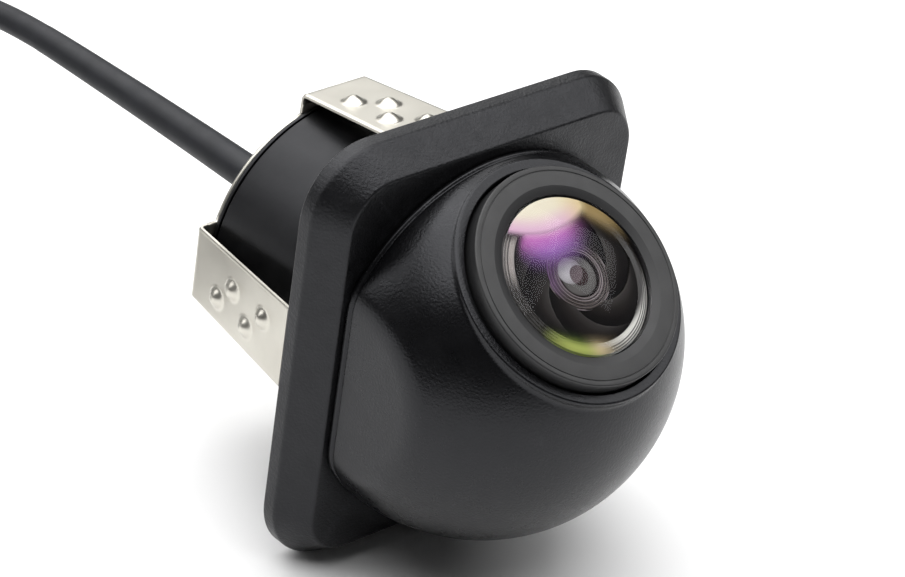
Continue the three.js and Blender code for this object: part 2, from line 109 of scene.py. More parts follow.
# The lens group's space: +Y points out of the lens, and y = 0 is level with the dome's centre.
lens_y = DOME_CENTRE_Y - LENS_DROP * math.sin(LENS_TILT)
lens_origin = (0, lens_y, -LENS_DROP * math.cos(LENS_TILT))
LENS_IN_CAMERA = Matrix.Translation(lens_origin) @ Matrix.Rotation(math.pi - LENS_TILT, 4, "X")
LENS_SPACE = CAMERA_SPACE @ LENS_IN_CAMERA
LENS_CENTRE = LENS_SPACE.translation
LENS_OUT = (LENS_SPACE.to_3x3() @ Vector((0, 1, 0))).normalized()

# ---- the view

VIEW_AIM = Vector((-0.22, 1.205, 16.76)) * MM
VIEW_DISTANCE = 0.249
VIEW_AZIMUTH = math.radians(-46.18)
VIEW_ELEVATION = math.radians(31.0)
VIEW_ROLL = math.radians(-8.57)
VIEW_LENS = 159.116


def place_object(name, data):
    made = bpy.data.objects.new(name, data)
    bpy.context.scene.collection.objects.link(made)
    return made


def make_camera():
    data = bpy.data.cameras.new("view")
    data.lens = VIEW_LENS
    data.sensor_width = 36
    data.clip_start = 0.01
    flat = math.cos(VIEW_ELEVATION)
    sideways = math.sin(VIEW_AZIMUTH) * flat
    backwards = -math.cos(VIEW_AZIMUTH) * flat
    outward = Vector((sideways, backwards, math.sin(VIEW_ELEVATION)))
    level = (-outward).cross(Vector((0, 0, 1))).normalized()
    upright = level.cross(-outward)
    up = math.cos(VIEW_ROLL) * upright + math.sin(VIEW_ROLL) * level
    right = (-outward).cross(up)
    turned_to = Matrix((right, up, outward)).transposed().to_4x4()
    camera = place_object("view", data)
    camera.matrix_world = Matrix.Translation(VIEW_AIM + outward * VIEW_DISTANCE) @ turned_to
    bpy.context.scene.camera = camera


make_camera()

# ---- material helpers

COAT_ROUGHNESS = 0.1


class Surface:
    """A Principled material whose colour, roughness and bump come from nodes in object space."""

    def __init__(self, name, metallic=0.0, ior=1.45, specular=0.5, coat=0.0):
        self.material = bpy.data.materials.new(name)
        self.material.use_nodes = True
        self.nodes = self.material.node_tree.nodes
        self.links = self.material.node_tree.links
        self.shader = self.nodes["Principled BSDF"]
        self.shader.inputs["Metallic"].default_value = metallic
        self.shader.inputs["IOR"].default_value = ior
        self.shader.inputs["Specular IOR Level"].default_value = specular
        self.shader.inputs["Coat Weight"].default_value = coat
        self.shader.inputs["Coat Roughness"].default_value = COAT_ROUGHNESS
        self.place = self.nodes.new("ShaderNodeTexCoord").outputs["Object"]
        self.normal = None

    def feed(self, socket, value):
        """Links an output to the socket, or sets the socket to a number, vector or colour."""
        if isinstance(value, bpy.types.NodeSocket):
            self.links.new(value, socket)
        elif socket.type == "RGBA":
            socket.default_value = (*value, 1)
        else:
            socket.default_value = value

    def node(self, kind, output, inputs, **settings):
        """Adds a node with these settings and inputs, and returns the output of that name."""
        node = self.nodes.new("ShaderNode" + kind)
        for name, value in settings.items():
            setattr(node, name, value)
        for key, value in inputs.items():
            self.feed(node.inputs[key], value)
        return node.outputs[output]

    def noise(self, scale, detail=2.0, roughness=0.5, stretch=None):
        place = self.place
        if stretch:
            place = self.node("Mapping", "Vector", {"Vector": place, "Scale": stretch})
        inputs = {"Vector": place, "Scale": scale, "Detail": detail, "Roughness": roughness}
        return self.node("TexNoise", "Fac", inputs)

    def cells(self, scale, smoothness):
        inputs = {"Vector": self.place, "Scale": scale, "Smoothness": smoothness}
        return self.node("TexVoronoi", "Distance", inputs, feature="SMOOTH_F1")

    def ramp(self, value, stops):
        """stops is a list of (position, grey value or colour)."""
        node = self.nodes.new("ShaderNodeValToRGB")
        elements = node.color_ramp.elements
        while len(elements) < len(stops):
            elements.new(0.5)
        for element, (position, colour) in zip(elements, stops):
            element.position = position
            if not hasattr(colour, "__len__"):
                colour = (colour, colour, colour)
            element.color = (*colour, 1)
        self.links.new(value, node.inputs["Fac"])
        return node.outputs["Color"]

    def patches(self, scale, detail, low, high, roughness=0.5):
        """Soft patches of noise, from low to high."""
        return self.ramp(self.noise(scale, detail, roughness), [(0.3, low), (0.7, high)])

    def math(self, operation, *values):
        return self.node("Math", "Value", dict(enumerate(values)), operation=operation)

    def vector_math(self, operation, *values, output="Vector"):
        return self.node("VectorMath", output, dict(enumerate(values)), operation=operation)

    def mix(self, factor, first, second):
        inputs = {"Factor": factor, "A": first, "B": second}
        return self.node("Mix", "Result", inputs, data_type="RGBA")

    def paint(self, shade):
        self.links.new(shade, self.shader.inputs["Base Color"])

    def colour(self, dark, light, scale, worn=None):
        """Mottled between two close colours, with raised edges rubbed towards the worn colour."""
        shade = self.mix(self.ramp(self.noise(scale, 4), [(0.35, 0.0), (0.65, 1.0)]), dark, light)
        if worn:
            edges = self.nodes.new("ShaderNodeNewGeometry").outputs["Pointiness"]
            patches = self.ramp(self.noise(scale * 3, 3), [(0.35, 0.2), (0.7, 1.0)])
            amount = self.ramp(edges, [(0.53, 0.0), (0.6, 1.0)])
            shade = self.mix(self.math("MULTIPLY", amount, patches), shade, worn)
        self.paint(shade)

    def gloss(self, low, high, scale):
        """Roughness that wanders between two values, with faint handling marks."""
        self.links.new(self.patches(scale, 4, low, high, 0.6), self.shader.inputs["Roughness"])

    def bump(self, height, distance, strength):
        inputs = {"Height": height, "Distance": distance, "Strength": strength}
        if self.normal:
            inputs["Normal"] = self.normal
        self.normal = self.node("Bump", "Normal", inputs)
        self.links.new(self.normal, self.shader.inputs["Normal"])

    def let_through(self, share, tint=(1, 1, 1)):
        """See-through, apart from the surface's own share."""
        clear = self.node("BsdfTransparent", "BSDF", {"Color": tint})
        inputs = {"Fac": share, 1: clear, 2: self.shader.outputs["BSDF"]}
        mixed = self.node("MixShader", "Shader", inputs)
        self.links.new(mixed, self.nodes["Material Output"].inputs["Surface"])


COOL_TINT = (0.93, 0.94, 1.0, 1)


def black_plastic(name, specular, colours, gloss, grain):
    """A black moulding; each grain is (scale, detail, roughness, distance, strength)."""
    s = Surface(name, ior=1.48, specular=specular)
    s.shader.inputs["Specular Tint"].default_value = COOL_TINT
    s.colour(*colours)
    s.gloss(*gloss)
    for scale, detail, roughness, distance, strength in grain:
        s.bump(s.noise(scale, detail, roughness), distance, strength)
    return s.material


def spring_steel():
    """Pale nickel plate over punched spring strip, with a faint rolling grain."""
    s = Surface("spring_steel", metallic=1.0)
    s.colour((0.53, 0.51, 0.455), (0.60, 0.58, 0.52), 220)
    s.gloss(0.3, 0.37, 260)
    s.bump(s.noise(2200, 3, 0.6, stretch=(1, 0.12, 1)), 0.000004, 0.25)
    return s.material


def radius_from_lens_axis(s):
    """The distance from the lens's axis, in metres, for turned marks around it."""
    offset = s.vector_math("SUBTRACT", s.place, LENS_CENTRE)
    across = s.vector_math("CROSS_PRODUCT", offset, LENS_OUT)
    return s.vector_math("LENGTH", across, output="Value")


def turned_marks(s, pitch):
    """Fine concentric tool marks around the lens's axis."""
    wave = s.math("SINE", s.math("MULTIPLY", radius_from_lens_axis(s), TURN / pitch))
    return s.math("MULTIPLY", wave, s.patches(900, 2, 0.3, 1.0))


RING_BEVEL = 5.88  # outer radius of the bevel between the ring's face and the glass, painted darker


def ring_finish():
    """Satin black anodising on turned aluminium, with the bevel inside painted darker."""
    s = Surface("ring_finish", ior=1.55, specular=0.42)
    face = s.mix(s.noise(900, 3), (0.010, 0.010, 0.0105), (0.016, 0.016, 0.017))
    centimetres = s.math("DIVIDE", radius_from_lens_axis(s), 0.01)
    bevel_edge = [(0.1 * (RING_BEVEL - 0.02), 1.0), (0.1 * (RING_BEVEL + 0.02), 0.0)]
    # the bevel inside RING_BEVEL is painted darker
    s.paint(s.mix(s.ramp(centimetres, bevel_edge), face, (0.004, 0.004, 0.005)))
    s.gloss(0.36, 0.46, 800)
    s.bump(turned_marks(s, 0.00009), 0.000002, 0.3)
    s.bump(s.noise(7000, 2), 0.000008, 0.2)
    return s.material


def black_metal():
    s = Surface("black_metal", ior=1.6)
    s.colour((0.004, 0.004, 0.004), (0.009, 0.009, 0.009), 900, worn=(0.03, 0.03, 0.03))
    s.gloss(0.22, 0.34, 700)
    s.bump(turned_marks(s, 0.00012), 0.000003, 0.3)
    return s.material


def rubber(name, dark, light, low=0.55, high=0.72):
    s = Surface(name, ior=1.5, specular=0.36)
    s.colour(dark, light, 600)
    s.gloss(low, high, 500)
    s.bump(s.noise(3200, 3), 0.000015, 0.35)
    return s.material


def plain(name, dark, light, low, high, metallic=0.0):
    s = Surface(name, metallic=metallic)
    s.colour(dark, light, 600)
    s.gloss(low, high, 600)
    s.bump(s.noise(3000, 2), 0.00001, 0.3)
    return s.material


def circuit_board():
    """Green solder mask with copper tracks that show through as raised, lighter bands."""
    s = Surface("circuit_board", coat=0.4)
    tracks = s.ramp(s.cells(700, 0.1), [(0.42, 0.0), (0.46, 1.0)])
    base = s.mix(s.patches(500, 3, 0.0, 1.0), (0.006, 0.04, 0.014), (0.009, 0.055, 0.02))
    s.paint(s.mix(tracks, base, (0.02, 0.11, 0.04)))
    s.gloss(0.3, 0.45, 600)
    s.bump(tracks, 0.00002, 0.4)
    return s.material


def clear_glass(name, tint, least, most):
    """A coated pane: see-through, with a tinted mirror's share that grows at grazing angles."""
    s = Surface(name, metallic=1.0)
    s.colour(tuple(0.94 * c for c in tint), tint, 500)
    s.gloss(0.03, 0.06, 800)
    s.bump(s.noise(600, 2), 0.0000004, 0.2)
    edge = s.node("LayerWeight", "Fresnel", {"Blend": 0.25})
    s.let_through(s.ramp(edge, [(0.0, least), (1.0, most)]), (0.95, 0.96, 0.97))
    return s.material


GRAINED = black_plastic(
    "grained_plastic",
    0.4,
    ((0.0015, 0.0015, 0.0018), (0.0032, 0.0032, 0.0037), 700, (0.008, 0.008, 0.009)),
    (0.32, 0.44, 900),
    [(1500, 2, 0.5, 0.00002, 0.4), (5200, 3, 0.6, 0.00004, 0.9)],
)
SATIN = black_plastic(
    "satin_plastic",
    0.38,
    ((0.0012, 0.0012, 0.0015), (0.0026, 0.0026, 0.003), 500, (0.006, 0.006, 0.007)),
    (0.25, 0.32, 600),
    [(2000, 2, 0.5, 0.000005, 0.3), (6000, 2, 0.55, 0.00003, 0.6)],
)
BARREL = black_plastic(
    "barrel_plastic",
    0.36,
    ((0.0015, 0.0015, 0.0018), (0.003, 0.003, 0.0035), 400, (0.007, 0.007, 0.008)),
    (0.34, 0.44, 700),
    [(2600, 2, 0.5, 0.000012, 0.4)],
)
NICKEL = spring_steel()
RING = ring_finish()
BLACK_METAL = black_metal()
CORD_JACKET = rubber("cord_jacket", (0.006, 0.0068, 0.0095), (0.010, 0.011, 0.0145), 0.46, 0.58)
TIE_RUBBER = rubber("tie_rubber", (0.006, 0.006, 0.006), (0.012, 0.012, 0.012))
SEAL_RUBBER = rubber("seal_rubber", (0.008, 0.008, 0.008), (0.014, 0.014, 0.014))
PLUG_PLASTIC = plain("plug_plastic", (0.005, 0.005, 0.0055), (0.01, 0.01, 0.011), 0.38, 0.5)

SLOT_MATERIALS = {
    "grained_plastic": GRAINED,
    "satin_plastic": SATIN,
    "ring_finish": RING,
    "spring_steel": NICKEL,
    "coated_glass": clear_glass("coated_glass", (0.95, 0.93, 0.96), 0.0005, 0.3),
    "inner_glass": clear_glass("inner_glass", (0.85, 0.88, 0.9), 0.02, 0.5),
    "seal_rubber": SEAL_RUBBER,
    "black_metal": BLACK_METAL,
    "silicon": plain("silicon", (0.03, 0.045, 0.07), (0.07, 0.05, 0.09), 0.1, 0.2, 0.4),
    "circuit_board": circuit_board(),
    "screw_steel": plain("screw_steel", (0.45, 0.45, 0.46), (0.6, 0.6, 0.61), 0.22, 0.36, 1.0),
    "flex_film": plain("flex_film", (0.28, 0.1, 0.02), (0.4, 0.17, 0.04), 0.28, 0.4),
    "white_plastic": plain("white_plastic", (0.66, 0.62, 0.52), (0.75, 0.72, 0.62), 0.4, 0.55),
    "chip_plastic": plain("chip_plastic", (0.006, 0.006, 0.007), (0.012, 0.012, 0.013), 0.4, 0.6),
    "epoxy": plain("epoxy", (0.004, 0.004, 0.004), (0.008, 0.008, 0.008), 0.15, 0.35),
    "cord_jacket": CORD_JACKET,
    "tie_rubber": TIE_RUBBER,
    "plug_plastic": PLUG_PLASTIC,
    "gold_plate": plain("gold_plate", (0.7, 0.45, 0.14), (0.85, 0.6, 0.22), 0.18, 0.3, 1.0),
}

# ---- mesh helpers


def add_piece(name, vertices, faces, place, materials, slot, replaced=(), body="housing", sharp=40):
    """A closed mesh from points in a space given in millimetres."""
    mesh = bpy.data.meshes.new(name)
    mesh.from_pydata([place @ Vector(v) for v in vertices], [], faces)
    work = bmesh.new()
    work.from_mesh(mesh)
    bmesh.ops.remove_doubles(work, verts=work.verts, dist=1e-8)
    loose = [edge for edge in work.edges if not edge.link_faces]
    bmesh.ops.delete(work, geom=loose, context="EDGES")
    bmesh.ops.recalc_face_normals(work, faces=work.faces)
    work.to_mesh(mesh)
    work.free()
    for material in materials if isinstance(materials, list) else [materials]:
        mesh.materials.append(material)
    mesh.shade_smooth()
    mesh.set_sharp_from_angle(angle=math.radians(sharp))
    piece = place_object(name, mesh)
    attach(piece, body)
    if replaced:
        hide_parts(*replaced)
    return piece


def clamp(value):
    return min(1.0, max(0.0, value))


def fillet(outline, closed=True, steps=5):
    """Rounds the corners of an outline of (a, b) or (a, b, radius) points."""
    rounded = []
    count = len(outline)
    for i, point in enumerate(outline):
        corner = Vector(point[:2])
        radius = point[2] if len(point) > 2 else 0
        if radius == 0 or (not closed and i in (0, count - 1)):
            rounded.append(tuple(corner))
            continue
        before = Vector(outline[i - 1][:2]) - corner
        after = Vector(outline[(i + 1) % count][:2]) - corner
        half = before.angle(after) / 2
        reach = min(radius / math.tan(half), 0.49 * before.length, 0.49 * after.length)
        radius = reach * math.tan(half)
        middle = (before.normalized() + after.normalized()).normalized()
        centre = corner + middle * (radius / math.sin(half))
        start = corner + before.normalized() * reach - centre
        end = corner + after.normalized() * reach - centre
        turn = start.angle_signed(end)
        for step in range(steps + 1):
            swung = start.copy()
            swung.rotate(Matrix.Rotation(-turn * step / steps, 2))
            rounded.append(tuple(centre + swung))
    return rounded


def band_faces(rings, around, closed=True):
    """Quads between successive rings of vertices, and back to the first ring if closed."""
    faces = []
    for j in range(rings if closed else rings - 1):
        for i in range(around):
            k = (i + 1) % around
            low = j * around
            high = ((j + 1) % rings) * around
            faces.append((low + i, low + k, high + k, high + i))
    return faces


def on_circle(radius, y, angles):
    return [(radius * math.cos(a), y, radius * math.sin(a)) for a in angles]


def lathe(outline, around=128, wobble=None):
    """A closed outline of (radius, y) points revolved about the Y axis, as vertices and faces."""
    angles = [TURN * i / around for i in range(around)]
    vertices = []
    for r, y in outline:
        for angle in angles:
            vertices += on_circle(wobble(r, y, angle) if wobble else r, y, [angle])
    return vertices, band_faces(len(outline), around)


def turned(name, outline, place, materials, around=128, wobble=None, **options):
    vertices, faces = lathe(fillet(outline), around, wobble)
    return add_piece(name, vertices, faces, place, materials, **options)


def strip_ends(rows, around):
    """Quads that close both ends of a strip whose section runs out and back."""
    faces = []
    for first in (0, (rows - 1) * around):
        for i in range(around // 2 - 1):
            last = first + around - 1 - i
            faces.append((first + i, first + i + 1, last - 1, last))
    return faces


def neighbours(line, i):
    return Vector(line[max(i - 1, 0)]), Vector(line[min(i + 1, len(line) - 1)])


# ---- cord

GLAND_REAR = gland_high.y / MM
CORD_START = (0, GLAND_REAR - 0.9, AXIS_MM)
RELIEF_END = (0, 44, AXIS_MM - 0.7)
CORD_LEAD = [
    CORD_START, (0, 20, AXIS_MM - 0.02), (0, 28, AXIS_MM - 0.14), (0, 36, AXIS_MM - 0.36),
    RELIEF_END, (0, 49, AXIS_MM - 1.3), (-0.1, 55, AXIS_MM - 2.6), (-0.3, 60, AXIS_MM - 4.6),
    (-0.5, 65.5, AXIS_MM - 6.4), (-0.66, 70.5, AXIS_MM - 7.3), (-0.66, 74.5, AXIS_MM - 7.6),
]
CORD_TAIL = [
    (-27.55, 74.5, 1.5), (-27.75, 70.2, 2.2), (-26.6, 65.5, 3.4),
    (-24.2, 61.5, 4.3), (-23.1, 58.5, 4.7), (-23, 57.4, 4.7),
]
COIL_CENTRE = (-14, 78)
COIL_SLOTS = (13.35, 11.45, 9.55, 7.65)
COIL_LAYERS = (7.0, 5.1, 3.2, 1.3)
COIL_END = 4860
COIL_SHIFT = 60  # degrees over which the cord moves across to the next slot or layer
COIL_STEP = 22.5
# Where the winding moves in (+1) or out (-1) by one slot, and where it drops a layer, in degrees
COIL_ACROSS = {225: 1, 585: 1, 945: 1, 1485: -1, 1845: -1, 2205: -1}
COIL_ACROSS |= {2745: 1, 3105: 1, 3465: 1, 4005: -1, 4365: -1, 4725: -1}
COIL_DROPS = (1215, 2475, 3735)


def eased(angle, middle):
    """From 0 to 1 as the winding passes one of its shifts."""
    share = clamp((angle - middle) / COIL_SHIFT + 0.5)
    return share * share * (3 - 2 * share)


def coil_point(angle):
    """The cord's centre in the coil, wound inwards and outwards, layer below layer."""
    slot = sum(way * eased(angle, at) for at, way in COIL_ACROSS.items())
    layer = sum(eased(angle, at) for at in COIL_DROPS)
    radius = COIL_SLOTS[0] + (COIL_SLOTS[1] - COIL_SLOTS[0]) * slot
    height = COIL_LAYERS[0] + (COIL_LAYERS[1] - COIL_LAYERS[0]) * layer
    turn = math.radians(angle)
    x = COIL_CENTRE[0] + radius * math.cos(turn)
    return (x, COIL_CENTRE[1] + radius * math.sin(turn), height)


def cord_route():
    count = int(COIL_END / COIL_STEP)
    return CORD_LEAD + [coil_point(i * COIL_STEP) for i in range(count + 1)] + CORD_TAIL


def smooth_line(points, per_span=12):
    """Points along a smooth curve through the given ones."""
    line = []
    for i in range(len(points) - 1):
        before = Vector(points[max(i - 1, 0)])
        start = Vector(points[i])
        end = Vector(points[i + 1])
        after = Vector(points[min(i + 2, len(points) - 1)])
        for step in range(per_span):
            t = step / per_span
            tangent = (end - before) * t
            bend = (2 * before - 5 * start + 4 * end - after) * t * t
            twist = (3 * start - before - 3 * end + after) * t * t * t
            line.append(0.5 * (2 * start + tangent + bend + twist))
    line.append(Vector(points[-1]))
    return line


def make_cord(route):
    curve = bpy.data.curves.new("cord", "CURVE")
    curve.dimensions = "3D"
    curve.bevel_depth = CORD_DIAMETER / 2 * MM
    curve.bevel_resolution = 6
    curve.resolution_u = 6
    curve.use_fill_caps = True
    spline = curve.splines.new("BEZIER")
    spline.bezier_points.add(len(route) - 1)
    for point, place in zip(spline.bezier_points, route):
        point.co = Vector(place) * MM
        point.handle_left_type = "AUTO"
        point.handle_right_type = "AUTO"
    curve.materials.append(CORD_JACKET)
    cord = place_object("cord", curve)
    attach(cord, "housing")
    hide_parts("cord_lead", "cord_coil", "cord_tail")
    return cord


def make_relief(route):
    """The moulded sleeve at the barrel: thicker than the cord, and tapered down to it."""
    around = 48
    thick = RELIEF_DIAMETER / 2
    thin = CORD_DIAMETER / 2 + 0.015
    side = Vector((1, 0, 0))
    line = [p for p in smooth_line(route[:7]) if p.y <= RELIEF_END[1]]
    start = line[0].y
    vertices = []
    for i, centre in enumerate(line):
        share = clamp((centre.y - start - 4) / (RELIEF_END[1] - start - 5))
        radius = thick + (thin - thick) * share
        if i == len(line) - 1:
            radius = CORD_DIAMETER / 2 - 0.02
        before, after = neighbours(line, i)
        ahead = (after - before).normalized()
        across = (side - ahead * side.dot(ahead)).normalized()
        up = across.cross(ahead)
        for k in range(around):
            angle = TURN * k / around
            vertices.append(centre + radius * (math.cos(angle) * across + math.sin(angle) * up))
    faces = band_faces(len(line), around, closed=False)
    last = (len(line) - 1) * around
    faces += [tuple(range(around)), tuple(range(last, last + around))]
    return add_piece(
        "relief_sleeve", vertices, faces, PART_SPACE, CORD_JACKET,
        replaced=["strain_relief"], slot="cord_jacket",
    )


def make_tie():
    """A soft rubber strap over the coil's four layers, with rounded shoulders."""
    half_width = 1.3
    edge = 0.12
    thickness = 0.5
    foot = 0.15
    inner_half = COIL_SLOTS[0] / 2 - COIL_SLOTS[3] / 2 + CORD_DIAMETER / 2 + 0.3
    low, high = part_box("coil_tie")
    top = high.z / MM
    outside = fillet(
        [
            (-inner_half - thickness, 0, foot), (-inner_half - thickness, top, 1.1),
            (inner_half + thickness, top, 1.1), (inner_half + thickness, 0, foot),
            (inner_half, 0, foot), (inner_half, top - thickness, 0.7),
            (-inner_half, top - thickness, 0.7), (-inner_half, 0, foot),
        ],
        steps=6,
    )
    middle = Vector(((low.x + high.x) / 2, (low.y + high.y) / 2, 0)) / MM
    levels = [(-half_width, edge), (-half_width + edge, 0), (half_width - edge, 0)]
    levels.append((half_width, edge))
    vertices = []
    for x, draw in levels:
        for i, (y, z) in enumerate(outside):
            along = Vector(outside[(i + 1) % len(outside)]) - Vector(outside[i - 1])
            along.normalize()
            inward = Vector((along.y, -along.x))
            y_inside = middle.y + y + inward.x * draw
            vertices.append((middle.x + x, y_inside, max(0, z + inward.y * draw)))
    around = len(outside)
    faces = band_faces(len(levels), around, closed=False) + strip_ends(len(levels), around)
    return add_piece(
        "coil_strap", vertices, faces, PART_SPACE, TIE_RUBBER,
        replaced=["coil_tie"], slot="tie_rubber",
    )


# ---- plug

plug_low, plug_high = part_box("plug_boot")
plug_end = ((plug_low.x + plug_high.x) / 2, plug_high.y, (plug_low.z + plug_high.z) / 2)
PLUG_SPACE = (
    Matrix.Translation(plug_end) @ Matrix.Rotation(math.pi, 4, "Z") @ Matrix.Scale(MM, 4)
)
GRIPS = 12
GRIP_DEPTH = 0.38
NUT_RADIUS = 4.5
NUT_BORE = 3.3
GRIP_START = 15.6
GRIP_END = 24.6


def gripped(r, y, angle):
    """Grooves along the nut's outside that run out before its front lip."""
    if r < 3.9 or y < 15.3:
        return r
    along = clamp((22.4 - y) / 0.5)
    across = abs(math.sin(angle * GRIPS / 2)) ** 2.2
    return r - GRIP_DEPTH * along * across


def make_plug():
    """A 4-pin screw connector: ribbed boot, body, and a coupling nut with finger grips."""
    boot = [(0, 0), (1.15, 0, 0.15)]
    for i in range(7):
        start = 0.7 + i * 1.15
        radius = 1.25 + 1.3 * (start / 9)
        boot += [(radius, start, 0.1), (radius + 0.12, start + 0.62, 0.12)]
        boot += [(radius - 0.22, start + 0.7, 0.08), (radius - 0.18, start + 1.05, 0.08)]
    boot += [(2.6, 8.8, 0.1), (2.6, 9.0), (0, 9.0)]
    body = [
        (0, 9.3), (3.3, 9.3, 0.3), (3.9, 10.4, 0.4), (3.9, 14.8, 0.25), (3.0, 14.8, 0.1),
        (3.0, 24, 0.12), (2.5, 24, 0.12), (2.5, 15.5), (0, 15.5),
    ]
    nut = [(NUT_BORE, 15.1, 0.1), (NUT_RADIUS, 15.1, 0.3)]
    nut += [(NUT_RADIUS, GRIP_START + (GRIP_END - GRIP_START) * i / 18) for i in range(18)]
    nut += [(NUT_RADIUS, 25.2, 0.35), (NUT_BORE, 25.2, 0.15)]
    return [
        turned(
            "plug_relief", boot, PLUG_SPACE, TIE_RUBBER, 64,
            replaced=["plug_boot"], slot="tie_rubber",
        ),
        turned(
            "plug_shell", body, PLUG_SPACE, PLUG_PLASTIC, 96,
            replaced=["plug_body"], slot="plug_plastic",
        ),
        turned(
            "plug_coupling", nut, PLUG_SPACE, PLUG_PLASTIC, 192, gripped,
            body="coupling_nut", replaced=["plug_nut"], slot="plug_plastic",
        ),
    ]


route = cord_route()
cord = make_cord(route)
relief = make_relief(route)
strap = make_tie()
plug_pieces = make_plug()

# ---- flange and barrel


CORNERS = ((1, 1), (-1, 1), (-1, -1), (1, -1))  # the side of x and of z that each corner is on


def rectangle_loop(inset, per_corner=20, per_side=14):
    """Points (x, z) around the flange, drawn in by inset, with its rounded corners."""
    radius = FLANGE_CORNER - inset
    middle_x = FLANGE_WIDTH / 2 - FLANGE_CORNER
    middle_z = FLANGE_HEIGHT / 2 - FLANGE_CORNER

    def corner_point(quarter, angle):
        sx, sz = CORNERS[quarter % 4]
        return (sx * middle_x + radius * math.cos(angle), sz * middle_z + radius * math.sin(angle))

    points = []
    for quarter in range(4):
        for i in range(per_corner):
            angle = math.pi / 2 * (quarter + i / (per_corner - 1))
            points.append(corner_point(quarter, angle))
        end = Vector(points[-1])
        start = Vector(corner_point(quarter + 1, math.pi / 2 * (quarter + 1)))
        points += [tuple(end.lerp(start, i / per_side)) for i in range(1, per_side)]
    return points


def make_flange():
    """The square flange with its slanted side wall, and the barrel behind it, in one skin."""
    front_width = 2.2
    lead_in = front_width + 9  # only gives the tube's first and last corners a direction
    wall = fillet(
        [
            (front_width, 0), (FLANGE_INSET, 0, 0.28), (0, FLANGE_THICKNESS - FLANGE_RIM, 0.5),
            (0, FLANGE_THICKNESS, 0.16), (front_width, FLANGE_THICKNESS),
        ],
        closed=False,
        steps=6,
    )
    tube = fillet(
        [
            (lead_in, FLANGE_THICKNESS), (BARREL_RADIUS, FLANGE_THICKNESS, 0.25),
            (BARREL_RADIUS, BARREL_REAR, 0.12), (BARREL_BORE, BARREL_REAR, 0.05),
            (BARREL_BORE, SPIGOT_DEPTH), (SPIGOT_HOLE, SPIGOT_DEPTH),
            (SPIGOT_HOLE, 0, 0.05), (lead_in, 0),
        ],
        closed=False,
        steps=4,
    )[1:-1]
    directions = [math.atan2(z, x) for x, z in rectangle_loop(0)]
    vertices = []
    for inset, y in wall:
        vertices += [(x, y, z) for x, z in rectangle_loop(inset)]
    for radius, y in tube:
        vertices += on_circle(radius, y, directions)
    faces = band_faces(len(wall) + len(tube), len(directions))
    flange = add_piece(
        "flange_and_barrel", vertices, faces, CAMERA_SPACE, [GRAINED, BARREL],
        replaced=["flange_housing"], slot="grained_plastic", sharp=50,
    )
    behind_flange = FRONT_Y + (FLANGE_THICKNESS + 0.1) * MM
    for face in flange.data.polygons:
        centre = face.center
        reach = math.hypot(centre.x, centre.z - AXIS_Z)
        if centre.y > behind_flange or reach < BARREL_BORE * MM + 1e-4:
            face.material_index = 1


# ---- head


def smooth_larger(a, b, blend):
    share = np.clip(0.5 + 0.5 * (a - b) / blend, 0, 1)
    return b + (a - b) * share + blend * share * (1 - share)


def smooth_smaller(a, b, blend):
    return -smooth_larger(-a, -b, blend)


LENS_AXIS = np.array((0, -math.cos(LENS_TILT), math.sin(LENS_TILT)))
LENS_DOWN = np.array((0, -math.sin(LENS_TILT), -math.cos(LENS_TILT)))
LENS_SIDE = np.array((1.0, 0, 0))
HEAD_CENTRE = np.array((0, DOME_CENTRE_Y, 0))
LENS_BASE = np.array(lens_origin)


def head_surface(points):
    """Negative inside the head: a ball with two flat cuts and a flat-topped collar, blended."""
    cut_blend = 0.45
    collar_blend = 0.16
    ball = np.linalg.norm(points - HEAD_CENTRE, axis=-1) - DOME_RADIUS
    sides = np.abs(points[..., 0]) - FACET_X
    body = smooth_larger(ball, sides, cut_blend)
    offset = points - LENS_BASE
    height = offset @ LENS_AXIS
    away = np.linalg.norm(offset - height[..., None] * LENS_AXIS, axis=-1)
    top = height - (COLLAR_HEIGHT - collar_blend / 4)
    body = smooth_larger(body, top, 0.05)
    collar = smooth_larger(away - COLLAR_RADIUS, top, collar_blend)
    return smooth_smaller(body, collar, collar_blend)


def head_reach(directions):
    """How far the head's surface is from its centre along each direction."""
    near = np.full(directions.shape[:-1], 8.0)
    far = np.full(directions.shape[:-1], 15.0)
    for _ in range(34):
        middle = (near + far) / 2
        outside = head_surface(HEAD_CENTRE + directions * middle[..., None]) > 0
        far = np.where(outside, middle, far)
        near = np.where(outside, near, middle)
    return (near + far) / 2


